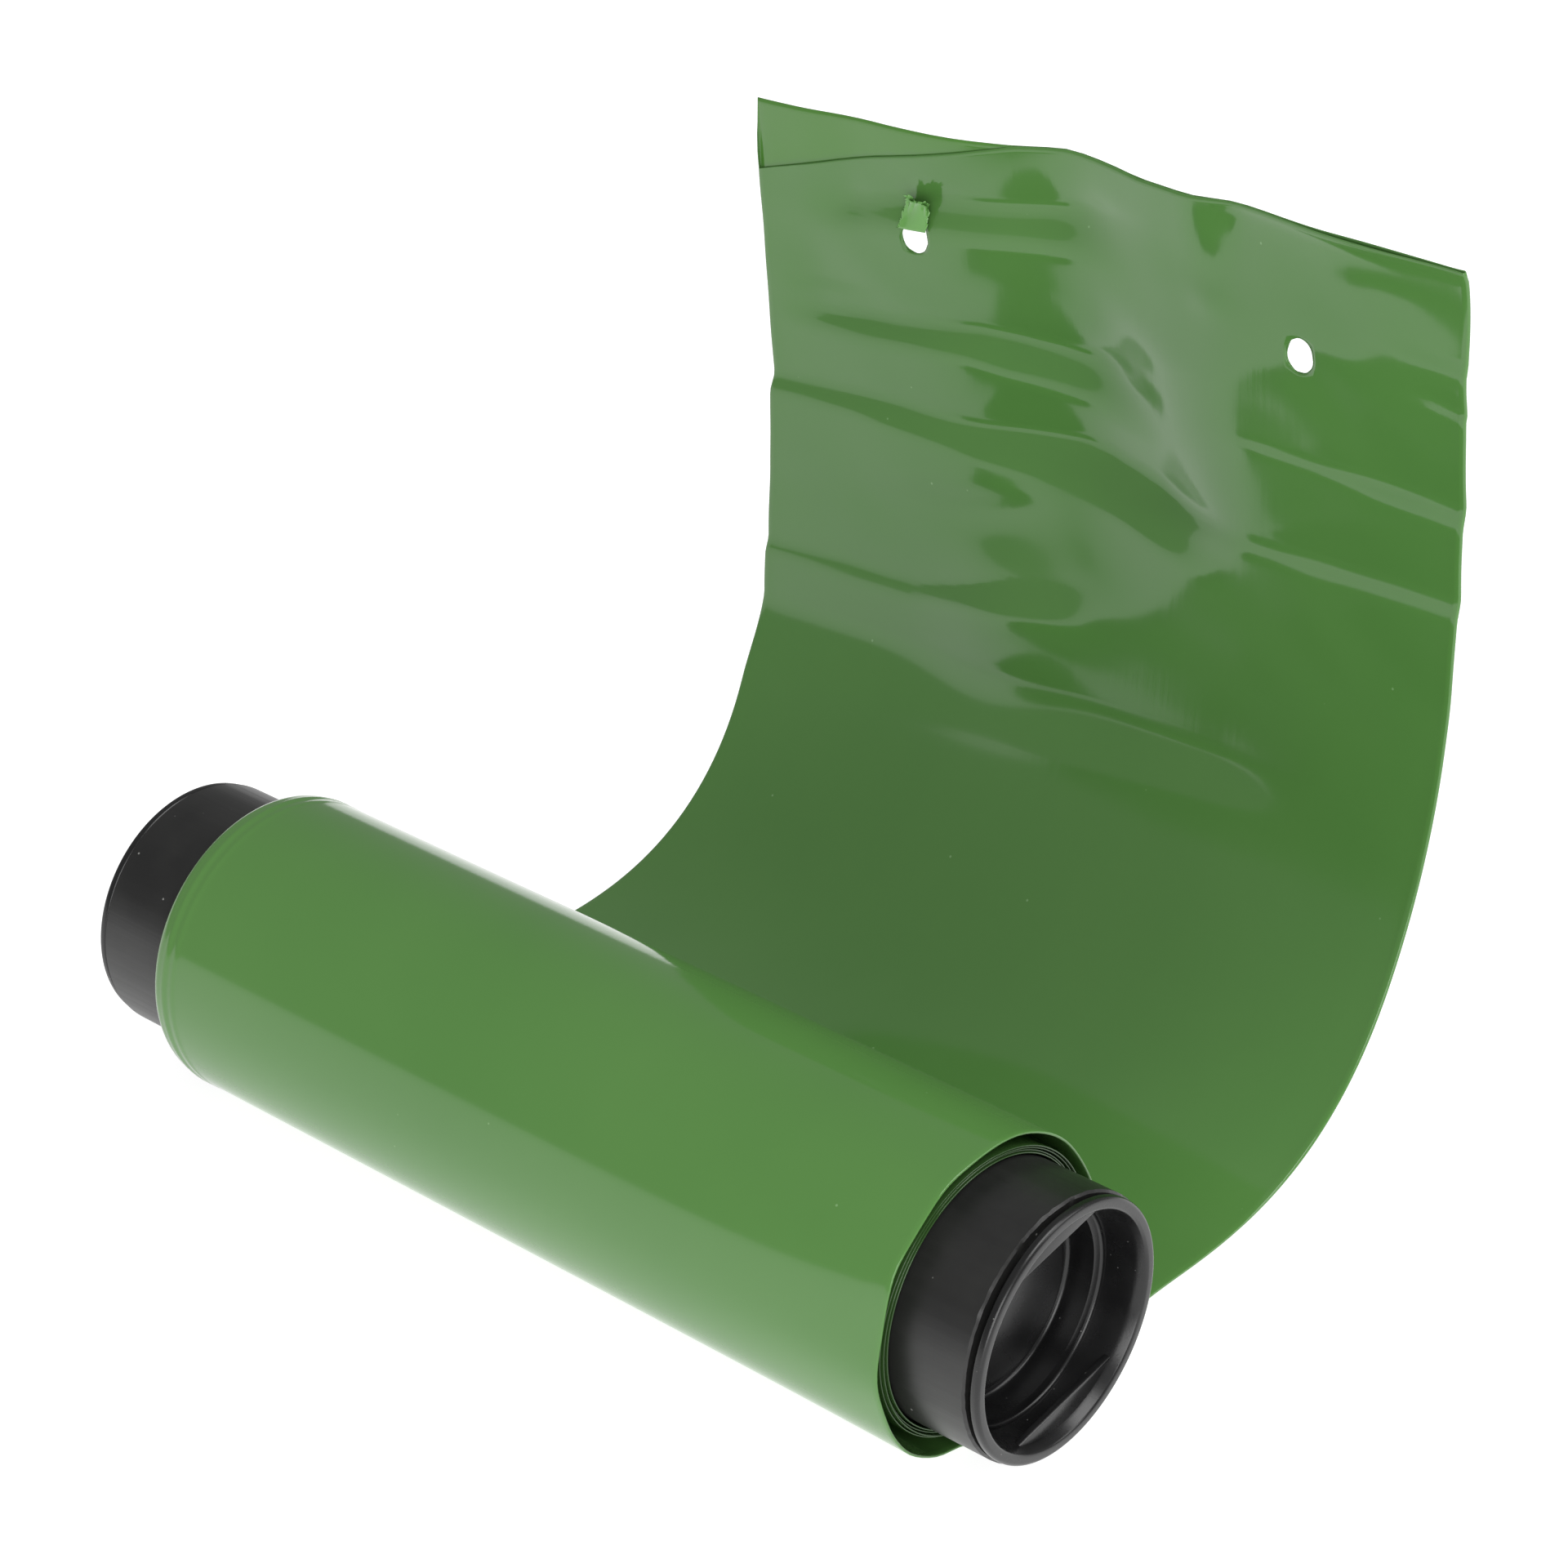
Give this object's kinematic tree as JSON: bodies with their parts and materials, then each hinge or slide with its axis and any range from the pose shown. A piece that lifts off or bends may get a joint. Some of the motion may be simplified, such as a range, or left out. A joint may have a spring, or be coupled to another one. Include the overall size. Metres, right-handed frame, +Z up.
{
  "type": "roll of lay-flat film tubing",
  "caption": "Roll of green lay-flat plastic tubing on a black core tube with push-in end plugs, its free end curled up into a punched leaf.",
  "frame": {"origin": "on the surface the roll lies on, under the middle of the whole part's box", "axes": "+X along the roll's axis towards the end with the shorter bare tube, +Y from the roll towards the standing leaf, +Z up"},
  "size_m": [0.1764, 0.1367, 0.1416],
  "materials": {
    "green_film": "glossy green film, faintly wrinkled",
    "core_plastic": "satin black, faint draw lines and dust",
    "plug_plastic": "satin black moulding",
    "tape": "matt pale adhesive tape"
  },
  "bodies": {
    "film": {"film_leaf": "green_film", "hole_chad": "green_film"},
    "roll": {"core_tube": "core_plastic", "start_tape": "tape", "film_wraps": "green_film"},
    "near_cap": {"near_plug": "plug_plastic"},
    "far_cap": {"far_plug": "plug_plastic"}
  },
  "joints": [
    {"name": "roll_turn", "type": "hinge", "parent": "film", "child": "roll", "pos_m": [0, -0.0441, 0.02426], "axis": [1, 0, 0], "continuous": true},
    {"name": "near_plug_pull", "type": "slide", "parent": "roll", "child": "near_cap", "axis": [1, 0, 0], "range_m": [0, 0.03]},
    {"name": "far_plug_pull", "type": "slide", "parent": "roll", "child": "far_cap", "axis": [-1, 0, 0], "range_m": [0, 0.03]}
  ]
}
